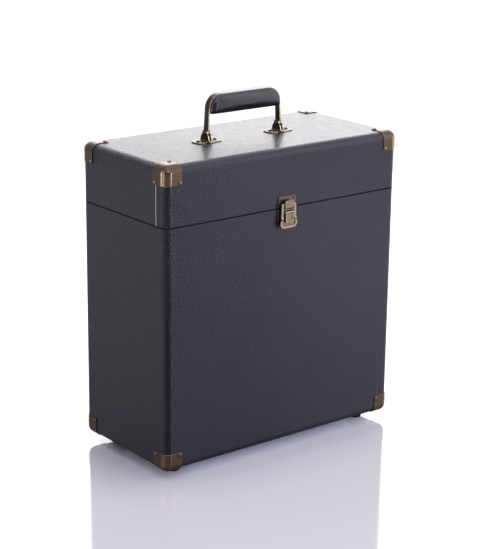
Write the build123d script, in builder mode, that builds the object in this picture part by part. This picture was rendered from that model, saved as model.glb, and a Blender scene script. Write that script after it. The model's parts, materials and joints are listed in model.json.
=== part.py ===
from build123d import *
import os

os.makedirs("parts", exist_ok=True)

# A carrying case for long-playing records: a plywood box wrapped in leatherette, sawn into a
# body and a hinged lid, with pressed brass corners, a draw latch and a folding handle.
# Millimetres. +X to the case's right, -Y towards its front, +Z up. The origin is on the floor
# under the middle of the case.

# ------------------------------------------------------------------ box
CASE_W = 348.0  # over the leatherette, left to right
CASE_D = 168.0  # over the leatherette, front to back
CASE_H = 364.0  # over the leatherette, bottom to top
LID_H = 71.0  # how much of that height is lid
EDGE_R = 9.0  # outside radius of every wrapped edge
COVER_T = 1.0  # leatherette
BOARD_T = 8.0  # plywood
LINING_T = 0.8  # lining cloth
SEAM_GAP = 0.4  # between the closed rims
RIM_ROUND = 0.8  # leatherette turned over a rim

# ------------------------------------------------------------------ locating lip in the body's mouth
LIP_T = 3.0
LIP_RISE = 10.0  # above the body's rim
LIP_DROP = 25.0  # below the body's rim
LIP_CLEAR = 0.5  # between the lip and the lid's lining
LIP_LEAD = 1.2  # lead-in chamfer

# ------------------------------------------------------------------ fasteners
HOLE_CLEAR = 0.05  # hole radius over shank radius
NAIL_HEAD_R = 2.8
NAIL_HEAD_H = 1.3
NAIL_R = 0.9
NAIL_L = 7.5
SCREW_HEAD_R = 2.8
SCREW_HEAD_H = 1.7
SCREW_R = 1.5
SCREW_L = 7.0
RIVET_HEAD_R = 2.0
RIVET_HEAD_H = 0.9
RIVET_R = 1.1
RIVET_L = 7.0
HINGE_SCREW_HEAD_R = 2.2
HINGE_SCREW_HEAD_H = 0.9

# ------------------------------------------------------------------ feet
FOOT_H = 10.5
FOOT_R = 8.4
FOOT_TAPER = 0.9  # how much narrower the foot is at the floor
FOOT_ROUND = 1.4
FOOT_INSET_X = 30.0
FOOT_INSET_Y = 27.0
FOOT_WELL_R = 3.6  # counterbore for the screw head
FOOT_WELL_D = 5.0

# ------------------------------------------------------------------ pressed corners
CORNER_L = 24.5  # reach along each edge of the case
CORNER_T = 0.9  # sheet brass
LOBE_R = 6.0  # rounding of each flap's free corner
EDGE_DIP = 2.0  # how far the rim draws in where it crosses a wrapped edge
NAIL_INSET = 19.5  # nail from both edges of its face

# ------------------------------------------------------------------ handle
HANDLE_SPAN = 108.5  # between the two pivots
HANDLE_RISE = 56.1  # top of the strap above the lid
LEG_STAND = 16.0  # how far above the lid each leg stays upright
LEG_LEAN = 2.2  # how far it leans in from there to the top
STRAP_W = 8.6
STRAP_T = 1.8
STRAP_BEND_R = 17.0  # on the strap's middle
GRIP_D = 22.0  # front to back
GRIP_H = 23.8
GRIP_PROUD = 0.2  # pad above the strap's outer face
GRIP_END_GAP = 0.1  # pad's ends to the legs
GRIP_TOP_R = 16.5
GRIP_FOOT_R = 2.5
GRIP_ROUND = 6.5
CHANNEL_CLEAR = 0.3  # pad to the strap's edges
CHANNEL_FLOOR_GAP = 0.05  # and to its inner face
CORE_W = 9.0
CORE_H = 15.0

# ------------------------------------------------------------------ handle brackets
PIN_RISE = 10.0  # pivot above the lid
PIN_R = 1.6
PIN_CLEAR = 0.05
PIN_HEAD_R = 2.9
PIN_HEAD_H = 1.2
BRACKET_L = 36.0
BRACKET_W = 18.0
BRACKET_T = 1.2
BRACKET_END_R = 5.0
BRACKET_BELLY_X = 10.0  # half-axes of the plate's wider middle
BRACKET_BELLY_Y = 12.0
BRACKET_PAD_T = 1.2  # raised seat under the ears
BRACKET_PAD_L = 10.0
BRACKET_PAD_W = 18.0
BRACKET_PAD_R = 3.3
BRACKET_PAD_SLOPE = 30.0  # degrees its sides lean in
BRACKET_SCREW_X = 12.2
EAR_T = 1.5
EAR_GAP = 0.35  # between a leg and each ear
EAR_BASE_W = 16.0
EAR_TIP_R = 4.6
EAR_BULGE = 1.1

# ------------------------------------------------------------------ hinges
HINGE_X = 100.0  # each hinge's middle from the case's middle
HINGE_L = 38.0
LEAF_H = 18.0
LEAF_T = 1.2
LEAF_CORNER_R = 2.0
KNUCKLE_R = 2.6
HINGE_PIN_R = 1.2
KNUCKLES = 5
KNUCKLE_GAP = 0.2
KNUCKLE_RELIEF = 0.3  # leaf cut back from the other leaf's knuckles
HINGE_SCREW_X = 13.0
HINGE_SCREW_DROP = 11.5

# ------------------------------------------------------------------ draw latch
LATCH_W = 26.4
LATCH_PLATE_T = 1.2
LATCH_CORNER_R = 2.5
BASE_DROP = 24.0  # foot of the base plate below the seam
BASE_GAP = 0.6  # top of the base plate below the seam
KEEPER_RISE = 14.5  # top of the keeper above the seam
RIVET_X = 10.2
KEEPER_RIVET_RISE = 11.9
BASE_RIVET_DROP = 20.5
LEVER_PIN_DROP = 4.7  # lever's pivot below the seam
LEVER_PIN_OUT = 4.2  # and out from the case
YOKE_PIN_DROP = 11.4  # yoke's pivot, on the lever
YOKE_PIN_OUT = 3.9
LATCH_PIN_R = 1.0
LATCH_EAR_T = 1.0
LATCH_EAR_R = 2.3
LATCH_SIDE_GAP = 0.2  # ears to the lever between them
LATCH_EDGE_R = 0.4  # edges of the hook and of the two plates
LEVER_W = 11.8
LEVER_WALL = 1.2
LEVER_OUT = 7.0  # lever's front face out from the case
LEVER_EYE_R = 2.2  # also how far the lever reaches above its pivot
LEVER_FOOT_DROP = 16.2
LEVER_NOSE_R = 1.2
LEVER_PANEL_IN = 1.9
LEVER_PANEL_D = 0.5
PULL_TOP_DROP = 13.6
PULL_FOOT_DROP = 23.4
PULL_TOP_W = 22.6
PULL_W = 25.4
PULL_FLARE_H = 3.0
PULL_CORNER_R = 6.0
PULL_IN = 3.2  # back of the pull out from the case
PULL_T = 1.4
PULL_RIM_W = 2.8
PULL_RIM_H = 0.8
YOKE_W = 22.6
YOKE_ARM_W = 3.4
YOKE_IN = 2.6
YOKE_T = 2.6
YOKE_EYE_R = 2.0
YOKE_CORNER_R = 4.0
YOKE_BAR_BASE = 4.2  # underside of the hooking bar above the seam
YOKE_BAR_H = 2.7
YOKE_TIE_DROP = 1.6  # underside of the lower tie below the seam
YOKE_TIE_H = 1.0
YOKE_TIE_T = 2.0
YOKE_OPENING_R = 0.3  # corners of the opening round the hook
YOKE_EDGE_R = 0.8  # outer front edges
HOOK_W = 13.6
HOOK_T = 1.2
HOOK_OUT = 6.4
HOOK_RISE = 10.0  # top of the hook above the seam
HOOK_FOOT_RISE = 0.8  # its lower edge, which the tie swings out under
HOOK_ROOT_RISE = 2.8
HOOK_CORNER_R = 2.5
HOOK_SIDE_CLEAR = 0.6  # where the hooking bar is cut short of the hook

# ------------------------------------------------------------------ levels and faces
BASE_Z = FOOT_H
TOP_Z = BASE_Z + CASE_H
SEAM_Z = TOP_Z - LID_H  # the body's rim
LID_Z = SEAM_Z + SEAM_GAP  # the lid's rim
MID_Z = BASE_Z + CASE_H / 2
WALL_T = COVER_T + BOARD_T
CAVITY_X = CASE_W / 2 - WALL_T  # half-width inside the boards
CAVITY_Y = CASE_D / 2 - WALL_T
LINED_X = CAVITY_X - LINING_T
LINED_Y = CAVITY_Y - LINING_T
SEAM_MID_Z = SEAM_Z + SEAM_GAP / 2
SIDES = (-1, 1)
SIDE_NAMES = {-1: "left", 1: "right"}
DEPTH_NAMES = {-1: "front", 1: "back"}
front_face = Plane.XZ.offset(CASE_D / 2)
back_face = Plane(origin=(0, CASE_D / 2, 0), x_dir=(-1, 0, 0), z_dir=(0, 1, 0))


# ------------------------------------------------------------------ fastener forms
def dome_fastener(head_r, head_h, shank_r, shank_l):
    """A round-headed nail, screw or rivet along +Z, its head's underside at the origin."""
    with BuildPart() as fastener:
        with BuildSketch(Plane.XZ):
            with BuildLine():
                Line((0, head_h), (0, -shank_l))
                Line((0, -shank_l), (shank_r, -shank_l))
                Line((shank_r, -shank_l), (shank_r, 0))
                Line((shank_r, 0), (head_r, 0))
                TangentArc((0, head_h), (head_r, 0), tangent=(1, 0))
            make_face()
        revolve(axis=Axis.Z)
    return fastener.part


nail = dome_fastener(NAIL_HEAD_R, NAIL_HEAD_H, NAIL_R, NAIL_L)
screw = dome_fastener(SCREW_HEAD_R, SCREW_HEAD_H, SCREW_R, SCREW_L)
rivet = dome_fastener(RIVET_HEAD_R, RIVET_HEAD_H, RIVET_R, RIVET_L)
hinge_screw = dome_fastener(HINGE_SCREW_HEAD_R, HINGE_SCREW_HEAD_H, SCREW_R, SCREW_L)


# ------------------------------------------------------------------ where the fasteners go
def nail_planes(end):
    """Three nail seats on each corner of the bottom (end -1) or the top (end 1)."""
    face_z = MID_Z + end * CASE_H / 2
    level_z = face_z - end * NAIL_INSET
    planes = []
    for sx in SIDES:
        for sy in SIDES:
            x = sx * (CASE_W / 2 - NAIL_INSET)
            y = sy * (CASE_D / 2 - NAIL_INSET)
            out_x = sx * (CASE_W / 2 + CORNER_T)
            out_y = sy * (CASE_D / 2 + CORNER_T)
            planes.append(Plane(origin=(x, y, face_z + end * CORNER_T), z_dir=(0, 0, end)))
            planes.append(Plane(origin=(out_x, y, level_z), z_dir=(sx, 0, 0)))
            planes.append(Plane(origin=(x, out_y, level_z), z_dir=(0, sy, 0)))
    return planes


body_nails = nail_planes(-1)
lid_nails = nail_planes(1)

foot_spots = [
    (sx * (CASE_W / 2 - FOOT_INSET_X), sy * (CASE_D / 2 - FOOT_INSET_Y)) for sx in SIDES for sy in SIDES
]
foot_screw_seats = [Plane(origin=(x, y, FOOT_WELL_D), z_dir=(0, 0, -1)) for x, y in foot_spots]
foot_screw_l = FOOT_H - FOOT_WELL_D + SCREW_L

bracket_screw_seats = [
    Plane.XY.offset(TOP_Z + BRACKET_T).shift_origin((side * HANDLE_SPAN / 2 + dx, 0, TOP_Z + BRACKET_T))
    for side in SIDES
    for dx in (-BRACKET_SCREW_X, BRACKET_SCREW_X)
]


def hinge_screw_seats(end):
    """Two screw seats on each hinge leaf, below (end -1) or above (end 1) the seam."""
    z = SEAM_MID_Z + end * HINGE_SCREW_DROP
    y = CASE_D / 2 + LEAF_T
    return [
        Plane(origin=(side * HINGE_X + dx, y, z), z_dir=(0, 1, 0))
        for side in SIDES
        for dx in (-HINGE_SCREW_X, HINGE_SCREW_X)
    ]


body_hinge_seats = hinge_screw_seats(-1)
lid_hinge_seats = hinge_screw_seats(1)


def rivet_seats(z):
    """Two rivet seats on a latch plate at height z."""
    y = -CASE_D / 2 - LATCH_PLATE_T
    return [Plane(origin=(side * RIVET_X, y, z), z_dir=(0, -1, 0)) for side in SIDES]


base_rivet_seats = rivet_seats(SEAM_Z - BASE_RIVET_DROP)
keeper_rivet_seats = rivet_seats(SEAM_Z + KEEPER_RIVET_RISE)

# ------------------------------------------------------------------ forms the box is cut from
with BuildPart() as case_form:
    with Locations((0, 0, MID_Z)):
        Box(CASE_W, CASE_D, CASE_H)
    fillet(case_form.edges(), EDGE_R)

with BuildPart() as board_form:
    with Locations((0, 0, MID_Z)):
        Box(CASE_W - 2 * COVER_T, CASE_D - 2 * COVER_T, CASE_H - 2 * COVER_T)
    fillet(board_form.edges(), EDGE_R - COVER_T)

with BuildPart() as cavity_form:
    with Locations((0, 0, MID_Z)):
        Box(2 * CAVITY_X, 2 * CAVITY_Y, CASE_H - 2 * WALL_T)

with BuildPart() as body_block:
    add(board_form.part)
    split(bisect_by=Plane.XY.offset(SEAM_Z - COVER_T), keep=Keep.BOTTOM)

with BuildPart() as lid_block:
    add(board_form.part)
    split(bisect_by=Plane.XY.offset(LID_Z + COVER_T), keep=Keep.TOP)


def drill(seats, radius, length):
    """Cut a clearance hole at each seat, inside the part being built."""
    with Locations(*seats):
        Hole(radius + HOLE_CLEAR, depth=length)


# ------------------------------------------------------------------ plywood of the body
with BuildPart() as body_carcass:
    add(body_block.part)
    add(cavity_form.part, mode=Mode.SUBTRACT)
    drill(body_nails, NAIL_R, NAIL_L)
    drill(foot_screw_seats, SCREW_R, foot_screw_l)
    drill(body_hinge_seats, SCREW_R, SCREW_L)
    drill(base_rivet_seats, RIVET_R, RIVET_L)

# ------------------------------------------------------------------ plywood of the lid
with BuildPart() as lid_carcass:
    add(lid_block.part)
    add(cavity_form.part, mode=Mode.SUBTRACT)
    drill(lid_nails, NAIL_R, NAIL_L)
    drill(bracket_screw_seats, SCREW_R, SCREW_L)
    drill(lid_hinge_seats, SCREW_R, SCREW_L)
    drill(keeper_rivet_seats, RIVET_R, RIVET_L)

# The front and back boards run the full width and the side boards stand between them. The
# bottom and top boards lie inside all four.
wall_mid_x = CAVITY_X + BOARD_T / 2
wall_mid_y = CAVITY_Y + BOARD_T / 2
board_spans = {
    "front": ((0, -wall_mid_y), (CASE_W, BOARD_T)),
    "back": ((0, wall_mid_y), (CASE_W, BOARD_T)),
    "left": ((-wall_mid_x, 0), (BOARD_T, 2 * CAVITY_Y)),
    "right": ((wall_mid_x, 0), (BOARD_T, 2 * CAVITY_Y)),
}
for half, carcass, flat_name in (("body", body_carcass, "bottom"), ("lid", lid_carcass, "top")):
    spans = dict(board_spans)
    spans[flat_name] = ((0, 0), (2 * CAVITY_X, 2 * CAVITY_Y))
    for side, (middle, span) in spans.items():
        with BuildPart() as board:
            add(carcass.part)
            with BuildSketch(Plane.XY.offset(BASE_Z)):
                with Locations(middle):
                    Rectangle(*span)
            extrude(amount=CASE_H, mode=Mode.INTERSECT)
        board.part.label = f"{half}_{side}_board"
        export_step(board.part, f"parts/{half}_{side}_board.step")

# ------------------------------------------------------------------ leatherette
with BuildPart() as body_cover:
    add(case_form.part)
    split(bisect_by=Plane.XY.offset(SEAM_Z), keep=Keep.BOTTOM)
    add(body_block.part, mode=Mode.SUBTRACT)
    add(cavity_form.part, mode=Mode.SUBTRACT)
    fillet(body_cover.faces().sort_by(Axis.Z)[-1].outer_wire().edges(), RIM_ROUND)
    drill(body_nails, NAIL_R, NAIL_L)
    drill(foot_screw_seats, SCREW_R, foot_screw_l)
    drill(body_hinge_seats, SCREW_R, SCREW_L)
    drill(base_rivet_seats, RIVET_R, RIVET_L)
body_cover.part.label = "body_cover"
export_step(body_cover.part, "parts/body_cover.step")

with BuildPart() as lid_cover:
    add(case_form.part)
    split(bisect_by=Plane.XY.offset(LID_Z), keep=Keep.TOP)
    add(lid_block.part, mode=Mode.SUBTRACT)
    add(cavity_form.part, mode=Mode.SUBTRACT)
    fillet(lid_cover.faces().sort_by(Axis.Z)[0].outer_wire().edges(), RIM_ROUND)
    drill(lid_nails, NAIL_R, NAIL_L)
    drill(bracket_screw_seats, SCREW_R, SCREW_L)
    drill(lid_hinge_seats, SCREW_R, SCREW_L)
    drill(keeper_rivet_seats, RIVET_R, RIVET_L)
lid_cover.part.label = "lid_cover"
export_step(lid_cover.part, "parts/lid_cover.step")

# ------------------------------------------------------------------ lining
with BuildPart() as lining_form:
    add(cavity_form.part)
    with Locations((0, 0, MID_Z)):
        Box(2 * LINED_X, 2 * LINED_Y, CASE_H - 2 * WALL_T - 2 * LINING_T, mode=Mode.SUBTRACT)

with BuildPart() as body_lining:
    add(lining_form.part)
    split(bisect_by=Plane.XY.offset(SEAM_Z), keep=Keep.BOTTOM)
body_lining.part.label = "body_lining"
export_step(body_lining.part, "parts/body_lining.step")

with BuildPart() as lid_lining:
    add(lining_form.part)
    split(bisect_by=Plane.XY.offset(LID_Z), keep=Keep.TOP)
lid_lining.part.label = "lid_lining"
export_step(lid_lining.part, "parts/lid_lining.step")

# ------------------------------------------------------------------ locating lip
# Four strips, mitred at the corners. Each is glued to the lining below the rim, and steps in
# above it to clear the lid's lining as the lid swings down.
lip_section_height = LIP_DROP + LIP_RISE
with BuildPart() as lip_ring:
    with BuildSketch(Plane.XY.offset(SEAM_Z - LIP_DROP)):
        Rectangle(2 * LINED_X, 2 * LINED_Y)
    extrude(amount=LIP_DROP)
    with BuildSketch(Plane.XY.offset(SEAM_Z)):
        Rectangle(2 * (LINED_X - LIP_CLEAR), 2 * (LINED_Y - LIP_CLEAR))
    extrude(amount=LIP_RISE)
    chamfer(lip_ring.faces().sort_by(Axis.Z)[-1].outer_wire().edges(), LIP_LEAD)
    with BuildSketch(Plane.XY.offset(SEAM_Z - LIP_DROP)):
        Rectangle(2 * (LINED_X - LIP_T), 2 * (LINED_Y - LIP_T))
    extrude(amount=lip_section_height, mode=Mode.SUBTRACT)

# Each strip keeps what lies in a wedge whose sides run along the mitres.
miter_in_x = LINED_X - LINED_Y
lip_wedges = {
    "front": ((-LINED_X, -LINED_Y), (LINED_X, -LINED_Y), (miter_in_x, 0), (-miter_in_x, 0)),
    "back": ((LINED_X, LINED_Y), (-LINED_X, LINED_Y), (-miter_in_x, 0), (miter_in_x, 0)),
    "left": ((-LINED_X, LINED_Y), (-LINED_X, -LINED_Y), (-miter_in_x, 0)),
    "right": ((LINED_X, -LINED_Y), (LINED_X, LINED_Y), (miter_in_x, 0)),
}
for side, wedge in lip_wedges.items():
    with BuildPart() as lip_strip:
        add(lip_ring.part)
        with BuildSketch(Plane.XY.offset(SEAM_Z - LIP_DROP)):
            with BuildLine():
                Polyline(*wedge, close=True)
            make_face()
        extrude(amount=lip_section_height, mode=Mode.INTERSECT)
    lip_strip.part.label = f"lip_{side}"
    export_step(lip_strip.part, f"parts/lip_{side}.step")

# ------------------------------------------------------------------ pressed brass corners
# The sheet follows the rounded corner of the case. Three flap outlines, one to each face, trim
# it to rounded lobes that draw in where they cross the wrapped edges.
with BuildPart() as sheet_form:
    with Locations((0, 0, MID_Z)):
        Box(CASE_W + 2 * CORNER_T, CASE_D + 2 * CORNER_T, CASE_H + 2 * CORNER_T)
    fillet(sheet_form.edges(), EDGE_R + CORNER_T)

flap_start = CORNER_L - EDGE_DIP
lobe_start = CORNER_L - LOBE_R
flap_margin = 2 * CORNER_T
corner_point = (CASE_W / 2, CASE_D / 2, TOP_Z)
flap_planes = (
    Plane(origin=corner_point, x_dir=(-1, 0, 0), z_dir=(0, 0, 1)),
    Plane(origin=corner_point, x_dir=(-1, 0, 0), z_dir=(0, -1, 0)),
    Plane(origin=corner_point, x_dir=(0, -1, 0), z_dir=(1, 0, 0)),
)
with BuildPart() as corner_form:
    add(sheet_form.part)
    add(case_form.part, mode=Mode.SUBTRACT)
    for flap_plane in flap_planes:
        with BuildSketch(flap_plane):
            with BuildLine():
                Polyline(
                    (0, flap_start),
                    (-flap_margin, flap_start),
                    (-flap_margin, -flap_margin),
                    (flap_start, -flap_margin),
                    (flap_start, 0),
                )
                TangentArc((CORNER_L, lobe_start), (flap_start, 0), tangent=(0, -1))
                TangentArc((lobe_start, CORNER_L), (0, flap_start), tangent=(-1, 0))
                RadiusArc((lobe_start, CORNER_L), (CORNER_L, lobe_start), LOBE_R)
            make_face()
        extrude(amount=2 * CORNER_L, both=True, mode=Mode.INTERSECT)
    drill(lid_nails, NAIL_R, NAIL_L)

for end, end_name in ((-1, "bottom"), (1, "top")):
    for sx in SIDES:
        for sy in SIDES:
            with BuildPart() as corner:
                piece = corner_form.part
                if sx < 0:
                    piece = mirror(piece, about=Plane.YZ, mode=Mode.PRIVATE)
                if sy < 0:
                    piece = mirror(piece, about=Plane.XZ, mode=Mode.PRIVATE)
                if end < 0:
                    piece = mirror(piece, about=Plane.XY.offset(MID_Z), mode=Mode.PRIVATE)
                add(piece)
            corner_name = f"corner_{end_name}_{DEPTH_NAMES[sy]}_{SIDE_NAMES[sx]}"
            corner.part.label = corner_name
            export_step(corner.part, f"parts/{corner_name}.step")

with BuildPart() as body_corner_nails:
    with Locations(*body_nails):
        add(nail)
body_corner_nails.part.label = "body_corner_nails"
export_step(body_corner_nails.part, "parts/body_corner_nails.step")

with BuildPart() as lid_corner_nails:
    with Locations(*lid_nails):
        add(nail)
lid_corner_nails.part.label = "lid_corner_nails"
export_step(lid_corner_nails.part, "parts/lid_corner_nails.step")

# ------------------------------------------------------------------ rubber feet
for x, y in foot_spots:
    with BuildPart() as foot:
        with BuildSketch(Plane.XY):
            with Locations((x, y)):
                Circle(FOOT_R - FOOT_TAPER)
        with BuildSketch(Plane.XY.offset(FOOT_H)):
            with Locations((x, y)):
                Circle(FOOT_R)
        loft()
        fillet(foot.edges().sort_by(Axis.Z)[0], FOOT_ROUND)
        with Locations(Plane(origin=(x, y, 0), z_dir=(0, 0, -1))):
            CounterBoreHole(SCREW_R + HOLE_CLEAR, FOOT_WELL_R, FOOT_WELL_D, FOOT_H)
    foot_name = f"foot_{DEPTH_NAMES[1 if y > 0 else -1]}_{SIDE_NAMES[1 if x > 0 else -1]}"
    foot.part.label = foot_name
    export_step(foot.part, f"parts/{foot_name}.step")

foot_screw = dome_fastener(SCREW_HEAD_R, SCREW_HEAD_H, SCREW_R, foot_screw_l)
with BuildPart() as foot_screws:
    with Locations(*foot_screw_seats):
        add(foot_screw)
foot_screws.part.label = "foot_screws"
export_step(foot_screws.part, "parts/foot_screws.step")

# ------------------------------------------------------------------ handle brackets
ear_mid_x = STRAP_T / 2 + EAR_GAP + EAR_T / 2
pin_z = TOP_Z + PIN_RISE
plate_top_z = TOP_Z + BRACKET_T
ear_side_mid = ((EAR_BASE_W / 2 + EAR_TIP_R) / 2 + EAR_BULGE, (plate_top_z + pin_z) / 2)
for side in SIDES:
    bracket_x = side * HANDLE_SPAN / 2
    with BuildPart() as bracket:
        with BuildSketch(Plane.XY.offset(TOP_Z)):
            with Locations((bracket_x, 0)):
                RectangleRounded(BRACKET_L, BRACKET_W, BRACKET_END_R)
                Ellipse(BRACKET_BELLY_X, BRACKET_BELLY_Y)
        extrude(amount=BRACKET_T)
        with BuildSketch(Plane.XY.offset(plate_top_z)):
            with Locations((bracket_x, 0)):
                RectangleRounded(BRACKET_PAD_L, BRACKET_PAD_W, BRACKET_PAD_R)
        extrude(amount=BRACKET_PAD_T, taper=BRACKET_PAD_SLOPE)
        for ear_side in SIDES:
            with BuildSketch(Plane.YZ.offset(bracket_x + ear_side * ear_mid_x)):
                with BuildLine():
                    Line((-EAR_BASE_W / 2, plate_top_z), (EAR_BASE_W / 2, plate_top_z))
                    ThreePointArc((EAR_BASE_W / 2, plate_top_z), ear_side_mid, (EAR_TIP_R, pin_z))
                    ThreePointArc((EAR_TIP_R, pin_z), (0, pin_z + EAR_TIP_R), (-EAR_TIP_R, pin_z))
                    ThreePointArc(
                        (-EAR_TIP_R, pin_z),
                        (-ear_side_mid[0], ear_side_mid[1]),
                        (-EAR_BASE_W / 2, plate_top_z),
                    )
                make_face()
            extrude(amount=EAR_T / 2, both=True)
        with BuildSketch(Plane.YZ.offset(bracket_x)):
            with Locations((0, pin_z)):
                Circle(PIN_R + HOLE_CLEAR)
        extrude(amount=2 * ear_mid_x, both=True, mode=Mode.SUBTRACT)
        drill(bracket_screw_seats, SCREW_R, BRACKET_T)
    bracket.part.label = f"handle_bracket_{SIDE_NAMES[side]}"
    export_step(bracket.part, f"parts/handle_bracket_{SIDE_NAMES[side]}.step")

with BuildPart() as bracket_screws:
    with Locations(*bracket_screw_seats):
        add(screw)
bracket_screws.part.label = "bracket_screws"
export_step(bracket_screws.part, "parts/bracket_screws.step")

# ------------------------------------------------------------------ handle pins
# Each is a rivet through both ears and the leg between them, headed at both ends.
ear_out_x = ear_mid_x + EAR_T / 2
for side in SIDES:
    with BuildPart() as handle_pin:
        with BuildSketch(Plane.XZ):
            with BuildLine():
                Polyline((0, -ear_out_x), (PIN_HEAD_R, -ear_out_x))
                TangentArc((0, -ear_out_x - PIN_HEAD_H), (PIN_HEAD_R, -ear_out_x), tangent=(1, 0))
                Line((0, -ear_out_x - PIN_HEAD_H), (0, -ear_out_x))
            make_face()
            mirror(about=Plane.XY)
            with Locations((PIN_R / 2, 0)):
                Rectangle(PIN_R, 2 * ear_out_x)
        revolve(axis=Axis.Z)
    pin_seat = Plane(origin=(side * HANDLE_SPAN / 2, 0, pin_z), z_dir=(1, 0, 0))
    placed_pin = handle_pin.part.moved(pin_seat.location)
    placed_pin.label = f"handle_pin_{SIDE_NAMES[side]}"
    export_step(placed_pin, f"parts/handle_pin_{SIDE_NAMES[side]}.step")

# ------------------------------------------------------------------ handle strap
strap_mid_z = TOP_Z + HANDLE_RISE - STRAP_T / 2
leg_end_z = pin_z - STRAP_W / 2
leg_x = HANDLE_SPAN / 2
leg_top_x = leg_x - LEG_LEAN
leg_bend_z = TOP_Z + LEG_STAND
with BuildPart() as handle_strap:
    with BuildLine(Plane.XZ) as strap_path:
        FilletPolyline(
            (-leg_x, leg_end_z),
            (-leg_x, leg_bend_z),
            (-leg_top_x, strap_mid_z),
            (leg_top_x, strap_mid_z),
            (leg_x, leg_bend_z),
            (leg_x, leg_end_z),
            radius=STRAP_BEND_R,
        )
    with BuildSketch(Plane.XY.offset(leg_end_z)):
        with Locations((-leg_x, 0)):
            Rectangle(STRAP_T, STRAP_W)
    sweep(path=strap_path.line)
    leg_corners = handle_strap.edges().filter_by(Axis.X).group_by(Axis.Z)[0]
    fillet(leg_corners, STRAP_W / 2 - PIN_CLEAR)
    with BuildSketch(Plane.YZ):
        with Locations((0, pin_z)):
            Circle(PIN_R + PIN_CLEAR)
    extrude(amount=CASE_W / 2, both=True, mode=Mode.SUBTRACT)
handle_strap.part.label = "handle_strap"
export_step(handle_strap.part, "parts/handle_strap.step")

# ------------------------------------------------------------------ handle core
strap_inner_z = strap_mid_z - STRAP_T / 2
core_half_l = leg_top_x - STRAP_BEND_R
with BuildPart() as handle_core:
    with BuildSketch(Plane.XZ):
        with Locations((0, strap_inner_z - CORE_H / 2)):
            Rectangle(2 * core_half_l, CORE_H)
    extrude(amount=CORE_W / 2, both=True)
handle_core.part.label = "handle_core"
export_step(handle_core.part, "parts/handle_core.step")

# ------------------------------------------------------------------ handle grip
# A stuffed leather pad around the core. It fills the space between the legs and swells past
# the strap on both sides, so the strap lies in a channel over its top.
grip_top_z = TOP_Z + HANDLE_RISE + GRIP_PROUD
grip_foot_z = grip_top_z - GRIP_H
channel_top_z = strap_inner_z - CHANNEL_FLOOR_GAP


def leg_inner_x(z):
    """Inner face of the leaning part of the right leg at height z."""
    lean = LEG_LEAN * (z - leg_bend_z) / (strap_mid_z - leg_bend_z)
    return leg_x - STRAP_T / 2 - lean


grip_top_x = leg_inner_x(grip_top_z) - GRIP_END_GAP
grip_foot_x = leg_inner_x(grip_foot_z) - GRIP_END_GAP
channel_top_x = leg_inner_x(channel_top_z) - CHANNEL_FLOOR_GAP
channel_foot_x = leg_inner_x(leg_bend_z) - CHANNEL_FLOOR_GAP
with BuildPart() as handle_grip:
    with BuildSketch(Plane.XZ) as grip_outline:
        with BuildLine():
            Polyline(
                (-grip_foot_x, grip_foot_z),
                (grip_foot_x, grip_foot_z),
                (grip_top_x, grip_top_z),
                (-grip_top_x, grip_top_z),
                close=True,
            )
        make_face()
        fillet(grip_outline.vertices().group_by(Axis.Y)[-1], GRIP_TOP_R)
        fillet(grip_outline.vertices().group_by(Axis.Y)[0], GRIP_FOOT_R)
    extrude(amount=GRIP_D / 2, both=True)
    side_faces = handle_grip.faces().filter_by(Axis.Y)
    fillet(side_faces.edges(), GRIP_ROUND)
    with BuildSketch(Plane.XZ):
        with BuildLine():
            FilletPolyline(
                (-channel_foot_x, leg_bend_z),
                (-channel_top_x, channel_top_z),
                (channel_top_x, channel_top_z),
                (channel_foot_x, leg_bend_z),
                radius=STRAP_BEND_R - STRAP_T / 2 - CHANNEL_FLOOR_GAP,
            )
            Polyline(
                (channel_foot_x, leg_bend_z),
                (CASE_W / 2, leg_bend_z),
                (CASE_W / 2, TOP_Z + 2 * HANDLE_RISE),
                (-CASE_W / 2, TOP_Z + 2 * HANDLE_RISE),
                (-CASE_W / 2, leg_bend_z),
                (-channel_foot_x, leg_bend_z),
            )
        make_face()
    extrude(amount=STRAP_W / 2 + CHANNEL_CLEAR, both=True, mode=Mode.SUBTRACT)
    add(handle_core.part, mode=Mode.SUBTRACT)
handle_grip.part.label = "handle_grip"
export_step(handle_grip.part, "parts/handle_grip.step")

# ------------------------------------------------------------------ hinges
# Each leaf lies on the back of the case. Its knuckles are centred on the seam, a knuckle's
# radius out from the case, and alternate along the pin, the body's leaf holding the odd one.
hinge_axis_y = CASE_D / 2 + KNUCKLE_R
knuckle_pitch = HINGE_L / KNUCKLES


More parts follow.
